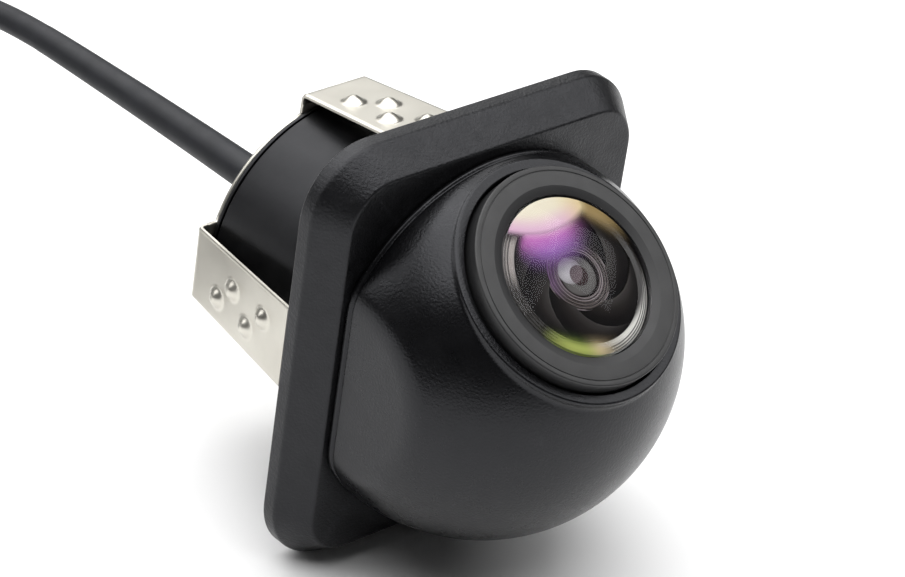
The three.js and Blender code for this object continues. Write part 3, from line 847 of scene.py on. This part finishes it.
def make_head():
    """The head: rows of points from the lens hole, over the collar and down to the flange."""
    around = 384
    base_y = -0.1
    angles = np.arange(around) * 2 * math.pi / around
    radial = np.cos(angles)[:, None] * LENS_SIDE + np.sin(angles)[:, None] * LENS_DOWN

    def in_lens(radius, height):
        return LENS_BASE + radial * radius + LENS_AXIS * height

    def angle_of(points):
        direction = points - HEAD_CENTRE
        direction /= np.linalg.norm(direction, axis=-1)[:, None]
        return np.arccos(np.clip(direction @ LENS_AXIS, -1, 1)), direction

    first_angle, first_direction = angle_of(in_lens(LENS_HOLE + 0.1, COLLAR_HEIGHT))
    edge_angle, _ = angle_of(in_lens(COLLAR_RADIUS, COLLAR_HEIGHT))
    outward = first_direction - np.cos(first_angle)[:, None] * LENS_AXIS
    outward /= np.linalg.norm(outward, axis=-1)[:, None]

    def along(angle):
        return np.cos(angle)[:, None] * LENS_AXIS + np.sin(angle)[:, None] * outward

    low = edge_angle.copy()
    high = np.full(around, math.radians(155))
    for _ in range(40):
        middle = (low + high) / 2
        direction = along(middle)
        y = DOME_CENTRE_Y + head_reach(direction) * direction[:, 1]
        high = np.where(y > base_y, middle, high)
        low = np.where(y > base_y, low, middle)
    last_angle = (low + high) / 2

    collar_start = edge_angle - 0.03
    collar_end = np.minimum(edge_angle + 0.07, edge_angle + 0.75 * (last_angle - edge_angle))
    skirt_start = np.maximum(last_angle - 0.11, collar_end + 0.3 * (last_angle - collar_end))
    levels = [first_angle + (collar_start - first_angle) * i / 5 for i in range(5)]
    levels += [collar_start + (collar_end - collar_start) * i / 26 for i in range(26)]
    levels += [collar_end + (skirt_start - collar_end) * i / 96 for i in range(96)]
    levels += [skirt_start + (last_angle - skirt_start) * i / 26 for i in range(27)]

    joint_depth = 0.16
    joint_height = 0.42
    joint_width = 0.1
    rows = [in_lens(LENS_HOLE, height) for height in (8.3, 9.2, COLLAR_HEIGHT - 0.16)]
    rows.append(in_lens(LENS_HOLE + 0.03, COLLAR_HEIGHT - 0.05))
    for angle in levels:
        direction = along(angle)
        reach = head_reach(direction)
        y = DOME_CENTRE_Y + reach * direction[:, 1]
        reach -= joint_depth * np.exp(-(((y + joint_height) / joint_width) ** 2))
        rows.append(HEAD_CENTRE + direction * reach[:, None])
    inner_angle, _ = angle_of(in_lens(LENS_HOLE, 8.25))
    for i in range(17):
        angle = last_angle + (inner_angle - last_angle) * i / 16
        point = HEAD_CENTRE + along(angle) * DOME_INNER
        point[:, 1] = np.minimum(point[:, 1], base_y)
        rows.append(point)
    vertices = [tuple(v) for v in np.concatenate(rows)]
    add_piece(
        "head", vertices, band_faces(len(rows), around), CAMERA_SPACE, SATIN,
        replaced=["dome_shell"], slot="satin_plastic", sharp=60,
    )


# ---- rear of the barrel

PLATE_FRONT = CAP_REAR + 0.1
PLATE_REAR = PLATE_FRONT + 0.3
PLATE_RADIUS = 9
TAB_REACH = 9.35


def make_rear():
    cap_hole = 2.2
    inside = BARREL_BORE - 0.3
    step = BARREL_REAR + 0.1
    cap = [
        (cap_hole, CAP_FRONT), (inside, CAP_FRONT), (inside, step),
        (BARREL_RADIUS, step, 0.03), (BARREL_RADIUS, CAP_REAR, 0.14), (cap_hole, CAP_REAR, 0.1),
    ]
    turned("barrel_cap", cap, CAMERA_SPACE, BARREL, replaced=["rear_cap"], slot="grained_plastic")
    gland = [(1.45, 13.2, 0.05), (1.9, 13.2, 0.05), (1.9, 15.35, 0.18), (1.45, 15.35, 0.12)]
    turned(
        "gland", gland, CAMERA_SPACE, SEAL_RUBBER, 64,
        replaced=["cord_gland"], slot="seal_rubber",
    )


def plate_outline(grow=0.0, per_arc=14, per_side=4):
    """A disc with four square tabs, as points (x, z)."""
    radius = PLATE_RADIUS + grow
    side = LEG_WIDTH_REAR / 2 + grow
    far = TAB_REACH + grow
    inner = math.sqrt(radius**2 - side**2)
    start = math.asin(side / radius)
    tab = [Vector(p) for p in ((inner, -side), (far, -side), (far, side), (inner, side))]
    local = []
    for a, b, count in zip(tab, tab[1:], (per_side, per_arc, per_side)):
        local += [a.lerp(b, i / count) for i in range(count)]
    for i in range(per_arc):
        angle = start + (math.pi / 2 - 2 * start) * i / per_arc
        local.append(Vector((math.cos(angle), math.sin(angle))) * radius)
    points = []
    for quarter in range(4):
        turn = quarter * math.pi / 2
        sine, cosine = math.sin(turn), math.cos(turn)
        points += [(p.x * cosine - p.y * sine, p.x * sine + p.y * cosine) for p in local]
    return points


def make_plate():
    """The spring's rear plate: a thin disc with rolled edges, a hole for the lead and four tabs."""
    edge = 0.07
    raise_by = 0.12
    hole_radius = 2.3
    levels = [(-edge, PLATE_FRONT), (0, PLATE_FRONT + edge)]
    levels += [(0, PLATE_REAR - edge), (-edge, PLATE_REAR)]
    vertices = []
    for grow, y in levels:
        vertices += [(x, y, z) for x, z in plate_outline(grow)]
    directions = [math.atan2(z, x) for x, z in plate_outline()]
    hole = [(7.0, 0.0), (4.5, raise_by)]
    hole += [(hole_radius + edge, raise_by), (hole_radius, raise_by - edge)]
    for radius, raised in hole:
        vertices += on_circle(radius, PLATE_REAR + raised, directions)
    for radius, raised in reversed(hole):
        vertices += on_circle(radius, PLATE_FRONT + min(raised, 0.05), directions)
    faces = band_faces(len(levels) + 2 * len(hole), len(directions))
    add_piece(
        "retainer_plate", vertices, faces, CAMERA_SPACE, NICKEL,
        replaced=["spring_plate"], slot="spring_steel", sharp=50,
    )


# ---- spring legs

DIMPLES = ((12.15, -0.95), (10.55, 0.55), (8.7, -1.05), (7.0, 0.6))  # (along the barrel, across)
DIMPLE_RADIUS = 0.78
DIMPLE_HEIGHT = 0.46


def leg_line(step=0.13):
    """The leg's centre line as (y, distance from the axis): off the plate, round a bend, on."""
    middle = LEG_RADIUS - LEG_THICKNESS / 2
    y = PLATE_REAR - 0.17
    rise = math.tan(LEG_SPLAY)
    corner = middle + (LEG_REAR - y) * rise
    front = (LEG_FRONT, middle + (LEG_REAR - LEG_FRONT) * rise)
    bent = fillet([(y, 9.37), (y, corner, 0.32), front], closed=False, steps=6)
    start = Vector(bent[-2])
    end = Vector(front)
    count = int((end - start).length / step)
    return bent[:-2] + [tuple(start.lerp(end, i / count)) for i in range(count + 1)]


def make_leg(side, degrees):
    """A flat strip with four raised dimples that grip the panel, rounded along both edges."""
    half_thickness = 0.16
    columns = 44
    steps = [-1 + 2 * i / columns for i in range(columns + 1)]
    section = [(across, 1) for across in steps] + [(across, -1) for across in reversed(steps)]
    line = leg_line()
    vertices = []
    for i, (y, reach) in enumerate(line):
        before, after = neighbours(line, i)
        along = (after - before).normalized()
        normal = Vector((along.y, -along.x))
        share = clamp((LEG_REAR - y) / (LEG_REAR - LEG_FRONT))
        half_width = (LEG_WIDTH_REAR + (LEG_WIDTH_FRONT - LEG_WIDTH_REAR) * share) / 2
        for across, face in section:
            x = across * half_width
            lift = 0.0
            for dimple_y, dimple_x in DIMPLES:
                distance = math.hypot(y - dimple_y, x - dimple_x) / DIMPLE_RADIUS
                if distance < 1:
                    lift += DIMPLE_HEIGHT * (1 - distance**2) ** 1.3
            edge = max(0.0, (abs(x) - (half_width - 0.1)) / 0.1)
            thickness = half_thickness * math.sqrt(max(0.0, 1 - 0.75 * edge**2))
            offset = normal * (face * thickness + lift)
            vertices.append((x, y + offset.x, reach + offset.y))
    around = len(section)
    faces = band_faces(len(line), around, closed=False) + strip_ends(len(line), around)
    turn = Matrix.Rotation(math.radians(degrees), 4, "Y")
    add_piece(
        f"retainer_leg_{side}", vertices, faces, CAMERA_SPACE @ turn, NICKEL,
        body=f"leg_{side}", replaced=[f"spring_leg_{side}"], slot="spring_steel", sharp=50,
    )


make_flange()
make_head()
make_rear()
make_plate()
for side, degrees in {"top": 0, "right": 90, "bottom": 180, "left": 270}.items():
    make_leg(side, degrees)

# ---- lens


PAINTED_BANDS_LEAN = (0.8, -0.2)
FACE_LEVEL = 10.6  # the height at which the painted reflection bands were laid out


def lens_coordinates(s, lean=None):
    """Right and down across the lens's face, in millimetres from its axis.

    lean is how far the pattern leans over, right and down, for each millimetre above FACE_LEVEL.
    """
    offset = s.vector_math("SUBTRACT", s.place, LENS_CENTRE)
    found = []
    for local in ((1, 0, 0), (0, 0, 1), (0, 1, 0)):
        axis = (LENS_SPACE.to_3x3() @ Vector(local)).normalized()
        along = s.vector_math("DOT_PRODUCT", offset, axis, output="Value")
        found.append(s.math("MULTIPLY", along, 1 / MM))
    across, down, height = found
    if not lean:
        return across, down
    above = s.math("SUBTRACT", height, FACE_LEVEL)
    return (
        s.math("ADD", across, s.math("MULTIPLY", above, lean[0])),
        s.math("ADD", down, s.math("MULTIPLY", above, lean[1])),
    )


def step_up(s, value, start, end):
    """0 below start and 1 above end, smoothly; the other way round if end is the smaller."""
    low, high, first, last = (start, end, 0, 1) if end > start else (end, start, 1, 0)
    inputs = {"From Min": low, "From Max": high, "To Min": first, "To Max": last}
    inputs["Value"] = value
    return s.node("MapRange", "Result", inputs, interpolation_type="SMOOTHSTEP")


def product(s, *values):
    result = values[0]
    for value in values[1:]:
        result = s.math("MULTIPLY", result, value)
    return result


def distance_from(s, x, z, centre, stretch=(1, 1)):
    """Distance on the lens's face from a point, in an ellipse's own measure."""
    across = s.math("DIVIDE", s.math("SUBTRACT", x, centre[0]), stretch[0])
    down = s.math("DIVIDE", s.math("SUBTRACT", z, centre[1]), stretch[1])
    square = s.math("ADD", s.math("MULTIPLY", across, across), s.math("MULTIPLY", down, down))
    return s.math("SQRT", square)


def painted_coating_reflection():
    """The inside of the front glass, with painted cream, gold, violet and green coating
    reflections.
    """
    s = Surface("painted_reflection_bands", ior=1.5, specular=0.1)
    x, z = lens_coordinates(s, PAINTED_BANDS_LEAN)
    waver = s.math("MULTIPLY", s.math("SUBTRACT", s.noise(250, 2), 0.5), 0.2)
    z = s.math("ADD", z, waver)
    radius = distance_from(s, x, z, (0.3, 0))
    left = s.math("SUBTRACT", x, 0.1)
    bow = s.math("ADD", z, s.math("MULTIPLY", s.math("MULTIPLY", left, left), 0.085))

    # cream, violet, gold and green mark where each painted reflection lies
    cream = product(s, step_up(s, bow, -2.6, -3.4), step_up(s, x, 3.6, 2.8))
    violet = product(
        s,
        step_up(s, bow, -3.4, -3.0),
        step_up(s, distance_from(s, x, z, (-0.6, -3.1), (4.1, 3.2)), 1.0, 0.25),
        step_up(s, radius, 4.75, 4.0),
    )
    gold = product(
        s,
        step_up(s, radius, 3.3, 4.7),
        step_up(s, x, 1.9, 3.2),
        step_up(s, z, -0.2, -3.2),
    )
    green = product(
        s,
        step_up(s, distance_from(s, x, z, (0.7, -0.6)), 4.0, 5.6),
        step_up(s, x, 1.6, -1.2),
        step_up(s, z, 1.6, 4.2),
    )
    cream_colour = s.mix(step_up(s, bow, -4.6, -3.2), (0.66, 0.60, 0.47), (0.60, 0.37, 0.50))
    cream_colour = s.mix(step_up(s, x, 0.6, 3.4), cream_colour, (0.62, 0.50, 0.26))
    violet_colour = s.mix(step_up(s, z, -3.3, -1.6), (0.50, 0.14, 0.43), (0.29, 0.12, 0.42))
    violet_colour = s.mix(step_up(s, x, -2.6, -3.8), violet_colour, (0.10, 0.06, 0.09))
    green_colour = s.mix(step_up(s, radius, 4.0, 4.95), (0.10, 0.17, 0.03), (0.58, 0.64, 0.17))
    green_colour = s.mix(step_up(s, x, -2.0, -0.5), green_colour, (0.80, 0.62, 0.36))
    colour = s.mix(violet, (0.01, 0.008, 0.01), violet_colour)
    colour = s.mix(gold, colour, (0.34, 0.24, 0.10))
    colour = s.mix(green, colour, green_colour)
    colour = s.mix(cream, colour, cream_colour)
    s.paint(colour)
    s.gloss(0.3, 0.4, 600)

    cover = s.math("MULTIPLY", violet, 0.9)
    for band, share in ((gold, 0.75), (green, 0.85), (cream, 0.97)):
        cover = s.math("MAXIMUM", cover, s.math("MULTIPLY", band, share))
    s.let_through(cover)
    return s.material


BLADES = 6
BLADE_SWEEP = math.radians(30)  # how far a blade's edge swings round for each millimetre outwards
BLADE_START = math.radians(61.7)
BLADE_STEP = 0.14
IRIS_INNER = 2.2
IRIS_OUTER = 4.36
IRIS_TOP = 10.78
IRIS_SLOPE = 0.05


def iris_painted_shading():
    """Black blades with painted light on each leading edge fading to painted shade; darker at the
    rim.
    """
    s = Surface("iris_painted_shading", ior=1.5, specular=0.06)
    x, z = lens_coordinates(s)
    radius = distance_from(s, x, z, (0, 0))
    angle = s.math("ARCTAN2", z, x)
    spiral = s.math("ADD", angle, s.math("MULTIPLY", radius, BLADE_SWEEP))
    turn = s.math("SUBTRACT", spiral, BLADE_START + 2.3 * BLADE_SWEEP)
    blade = s.math("FRACT", s.math("MULTIPLY", turn, BLADES / (2 * math.pi)))
    # painted light and shade across each blade, lightest at its leading edge
    shade = s.ramp(
        blade,
        [
            (0.0, (0.070, 0.064, 0.060)), (0.07, (0.040, 0.036, 0.034)),
            (0.35, (0.017, 0.014, 0.013)), (0.7, (0.004, 0.003, 0.003)),
            (1.0, (0.001, 0.001, 0.001)),
        ],
    )
    shade = s.mix(s.patches(400, 3, 0.0, 0.2), shade, (0.012, 0.009, 0.009))
    # darker towards the outer rim
    s.paint(s.mix(step_up(s, radius, 3.5, 4.4), shade, (0.006, 0.005, 0.005)))
    s.gloss(0.4, 0.5, 700)
    s.bump(s.noise(5000, 2), 0.000006, 0.2)
    return s.material


def inner_rings_painted_sheen():
    """Polished black rings, with a painted warm violet reflection of the glass over them and thin
    painted highlight circles.
    """
    s = Surface("inner_rings_painted_sheen", ior=1.5, specular=0.12)
    x, z = lens_coordinates(s)
    # painted violet reflection on the upper left
    lit = step_up(s, s.math("ADD", s.math("MULTIPLY", x, 0.6), z), 0.6, -2.6)
    shade = s.mix(lit, (0.105, 0.085, 0.080), (0.27, 0.15, 0.30))
    radius = distance_from(s, x, z, (0, 0))
    lines = s.math("SINE", s.math("MULTIPLY", radius, 2 * math.pi / 0.2))
    shade = s.mix(step_up(s, lines, 0.1, 0.7), shade, (0.022, 0.017, 0.018))
    # thin painted highlight circles
    highlight_lines = s.ramp(
        s.math("DIVIDE", radius, 3),
        [
            (0.5, 0.0), (0.515, 1.0), (0.53, 0.0), (0.55, 0.0),
            (0.565, 1.0), (0.58, 0.0), (0.73, 0.0), (0.75, 0.7),
        ],
    )
    s.paint(s.mix(highlight_lines, shade, (0.30, 0.25, 0.26)))
    s.gloss(0.22, 0.32, 900)
    s.bump(s.noise(4000, 2), 0.000004, 0.2)
    return s.material


def inner_lens_with_highlight():
    """The small inner lens: grey, with a painted white highlight at its upper left over a dark
    pupil.
    """
    s = Surface("inner_lens_painted_highlight", ior=1.5, specular=0.06)
    x, z = lens_coordinates(s)
    from_centre = distance_from(s, x, z, (0, 0.05))
    pupil = step_up(s, from_centre, 0.7, 0.64)
    # painted highlight at the upper left, whitest towards its corner
    painted_highlight = step_up(s, distance_from(s, x, z, (-0.47, -0.42)), 0.92, 0.84)
    highlight_falloff = step_up(s, distance_from(s, x, z, (-0.75, -0.65)), 1.3, 0.2)
    rim = step_up(s, from_centre, 1.2, 1.34)
    shade = s.mix(s.patches(700, 2, 0.0, 1.0), (0.115, 0.108, 0.104), (0.14, 0.13, 0.125))
    shade = s.mix(rim, shade, (0.012, 0.009, 0.009))
    highlight_colour = s.mix(highlight_falloff, (0.24, 0.22, 0.23), (0.66, 0.63, 0.66))
    pupil_colour = s.mix(painted_highlight, (0.032, 0.018, 0.019), (0.135, 0.10, 0.11))
    shade = s.mix(painted_highlight, shade, highlight_colour)
    s.paint(s.mix(pupil, shade, pupil_colour))
    s.gloss(0.1, 0.16, 900)
    s.bump(s.noise(1500, 2), 0.000001, 0.2)
    return s.material


def cap_line(rim_radius, rim_y, apex_y, steps):
    """A shallow spherical cap's outline from its rim to just off the axis."""
    rise = apex_y - rim_y
    ball = (rim_radius**2 + rise**2) / (2 * rise)
    points = []
    for i in range(steps + 1):
        r = rim_radius * (1 - i / steps)
        points.append((r, apex_y - ball + math.sqrt(ball**2 - r**2)))
    return points


def make_lens_ring():
    seat = 9.85
    groove = LENS_FRONT - 0.045
    ring = [
        (5.3, seat), (5.3, LENS_FRONT - 0.12, 0.04), (RING_BEVEL, LENS_FRONT, 0.06),
        (6.8, LENS_FRONT, 0.02), (6.82, groove, 0.02), (6.87, groove, 0.02),
        (6.89, LENS_FRONT, 0.02), (LENS_RADIUS, LENS_FRONT, 0.1), (LENS_RADIUS, 9.3, 0.05),
        (6.1, 9.3), (6.1, seat),
    ]
    turned(
        "lens_ring", ring, LENS_SPACE, RING, 256,
        replaced=["lens_retaining_ring"], slot="ring_finish", sharp=60,
    )


def make_front_glass():
    """The domed front glass, with painted coating reflections on the inside and a polished edge."""
    inner_rim = 5.14
    inner_rim_y = 10.82
    outside = cap_line(GLASS_RADIUS, 10.95, 12.0, 18)
    inside = cap_line(inner_rim, inner_rim_y, 11.75, 16)[::-1]
    vertices, faces = lathe(outside + inside + [(GLASS_RADIUS, 10.6)], 192)
    glass = add_piece(
        "front_glass", vertices, faces, LENS_SPACE, [SLOT_MATERIALS["coated_glass"], painted_coating_reflection()],
        replaced=["front_element"], slot="coated_glass", sharp=60,
    )
    for face in glass.data.polygons:
        offset = face.center - LENS_CENTRE
        height = offset.dot(LENS_OUT) / MM
        reach = (offset - LENS_OUT * offset.dot(LENS_OUT)).length / MM
        if face.normal.dot(LENS_OUT) < 0 and reach < inner_rim and height > inner_rim_y:
            face.material_index = 1


SEAT_INNER = 4.38
SEAT_OUTER = 5.3
SEAT_TOP = 10.74
SEAT_SLOPE = 0.33
SEAT_LINE = 0.17


def seat_painted_highlights():
    """Polished steps, with painted highlights in thin circles and a painted green reflection at the
    lower left.
    """
    s = Surface("glass_seat_painted_highlights", specular=0.4)
    x, z = lens_coordinates(s)
    angle = s.math("ARCTAN2", z, x)
    radius = distance_from(s, x, z, (0, 0))
    shorter_inside = s.math("SUBTRACT", angle, s.math("SUBTRACT", SEAT_OUTER, radius))
    # painted highlights at the lower right and upper left, a painted green reflection at the lower
    # left
    lower_right_highlight = product(s, step_up(s, shorter_inside, -0.15, 0.4), step_up(s, angle, 1.95, 1.7))
    upper_left_highlight = product(s, step_up(s, angle, -3.1, -2.7), step_up(s, angle, -1.9, -2.4))
    lower_left_green_reflection = product(s, step_up(s, angle, 1.5, 1.8), step_up(s, angle, 2.65, 2.3))
    across = s.math("DIVIDE", s.math("SUBTRACT", radius, SEAT_INNER), SEAT_OUTER - SEAT_INNER)
    lines = s.ramp(
        across,
        [
            (0.0, 0.0), (0.05, 1.0), (0.36, 1.0), (0.4, 0.12), (0.45, 0.12), (0.49, 0.9),
            (0.54, 0.9), (0.58, 0.1), (0.62, 0.1), (0.66, 0.75), (0.7, 0.75), (0.74, 0.08),
            (0.79, 0.08), (0.83, 0.6), (0.87, 0.6), (0.92, 0.05),
        ],
    )
    patches = s.patches(500, 3, 0.8, 1.0)
    shade = s.mix(lower_left_green_reflection, (0.026, 0.022, 0.020), (0.36, 0.42, 0.12))
    shade = s.mix(product(s, lines, upper_left_highlight), shade, (0.34, 0.30, 0.28))
    s.paint(s.mix(product(s, lines, lower_right_highlight, patches), shade, (0.92, 0.89, 0.82)))
    s.gloss(0.22, 0.3, 900)
    s.bump(turned_marks(s, 0.00008), 0.000002, 0.3)
    return s.material


def make_glass_seat():
    """Fine polished steps between the ring and the iris, with thin circles of painted highlight."""
    outline = [(SEAT_OUTER, 9.9)]
    count = int((SEAT_OUTER - SEAT_INNER) / SEAT_LINE)
    for i in reversed(range(count)):
        r = SEAT_INNER + i * SEAT_LINE
        y = SEAT_TOP - SEAT_SLOPE * (r - SEAT_INNER)
        outline += [(r + SEAT_LINE, y - 0.05, 0.01), (r + 0.55 * SEAT_LINE, y - 0.05, 0.01)]
        outline += [(r + 0.45 * SEAT_LINE, y, 0.01), (r, y, 0.01)]
    outline += [(SEAT_INNER, 9.9)]
    turned("glass_seat", outline, LENS_SPACE, seat_painted_highlights(), 256, slot="black_metal", sharp=50)


def make_iris():
    """The spiral baffle: blades that step down at each leading edge."""
    around = 432
    rows = 36
    angles = [TURN * i / around for i in range(around)]
    vertices = []
    for j in range(rows + 1):
        r = IRIS_INNER + (IRIS_OUTER - IRIS_INNER) * j / rows
        for angle in angles:
            turn = angle + (r - 2.3) * BLADE_SWEEP - BLADE_START
            blade = (turn * BLADES / TURN) % 1.0
            y = IRIS_TOP - IRIS_SLOPE * (r - IRIS_INNER) + BLADE_STEP * (1 - blade)
            vertices.append((r * math.cos(angle), y, r * math.sin(angle)))
    for r in (IRIS_OUTER, IRIS_INNER):
        vertices += on_circle(r, 9.5, angles)
    add_piece(
        "iris_baffle", vertices, band_faces(rows + 3, around), LENS_SPACE, iris_painted_shading(),
        replaced=["aperture_plate"], slot="black_metal", sharp=35,
    )


def make_inner_lens():
    rings = [(1.42, 9.8), (1.42, 10.86, 0.03)]
    for i in range(4):
        r = 1.48 + i * 0.2
        y = 10.98 - 0.03 * i
        rings += [(r, y, 0.03), (r + 0.08, y, 0.03)]
        rings += [(r + 0.1, y - 0.07, 0.02), (r + 0.18, y - 0.07, 0.02)]
    rings += [(2.28, 10.86, 0.03), (2.3, 10.7, 0.02), (2.3, 9.8)]
    turned(
        "inner_rings", rings, LENS_SPACE, inner_rings_painted_sheen(), 160,
        replaced=["inner_cell"], slot="black_metal", sharp=50,
    )
    dome = cap_line(1.4, 10.84, 11.0, 12) + [(0, 9.9), (1.4, 9.9)]
    vertices, faces = lathe(dome)
    add_piece(
        "inner_lens", vertices, faces, LENS_SPACE, inner_lens_with_highlight(),
        replaced=["inner_element"], slot="inner_glass", sharp=50,
    )


make_lens_ring()
make_front_glass()
make_glass_seat()
make_iris()
make_inner_lens()

# ---- carried-over nodes

for part in frame["record"]["subparts"]:
    node = frame["nodes"][part["node"]]
    finish = SLOT_MATERIALS[part["material_slot"]]
    if node.material_slots:
        for material_slot in node.material_slots:
            material_slot.link = "OBJECT"
            material_slot.material = finish
    else:
        node.data.materials.append(finish)

# ---- floor, light and surroundings


def make_floor():
    half = 1.5
    level = -0.00001
    mesh = bpy.data.meshes.new("floor")
    corners = [(x * half, y * half, level) for x, y in ((-1, -1), (1, -1), (1, 1), (-1, 1))]
    mesh.from_pydata(corners, [], [(0, 1, 2, 3)])
    s = Surface("floor", specular=0.2)
    s.colour((0.89, 0.89, 0.89), (0.92, 0.92, 0.92), 6)
    s.gloss(0.6, 0.7, 20)
    mesh.materials.append(s.material)
    place_object("floor", mesh)


def make_softbox(name, place, aim, width, height, radiance):
    """A rectangular light whose face has this radiance."""
    data = bpy.data.lights.new(name, "AREA")
    data.shape = "RECTANGLE"
    data.size = width
    data.size_y = height
    data.energy = radiance * math.pi * width * height
    lamp = place_object(name, data)
    lamp.location = place
    toward = Vector(aim) - Vector(place)
    lamp.rotation_euler = toward.to_track_quat("-Z", "Y").to_euler()


make_floor()
centre = (0, 0, 0.015)
make_softbox("overhead", (-0.02, 0.02, 0.5), centre, 0.64, 0.64, 3.2)
make_softbox("rear", (-0.04, 0.42, 0.37), centre, 1.1, 0.34, 2.4)
make_softbox("right", (0.33, -0.15, 0.37), centre, 0.32, 0.3, 2.3)

world = bpy.data.worlds.new("surroundings")
world.use_nodes = True
world.node_tree.nodes["Background"].inputs["Color"].default_value = (0.08, 0.08, 0.08, 1)
world.node_tree.nodes["Background"].inputs["Strength"].default_value = 1.0
bpy.context.scene.world = world
bpy.context.scene.view_settings.view_transform = "Standard"
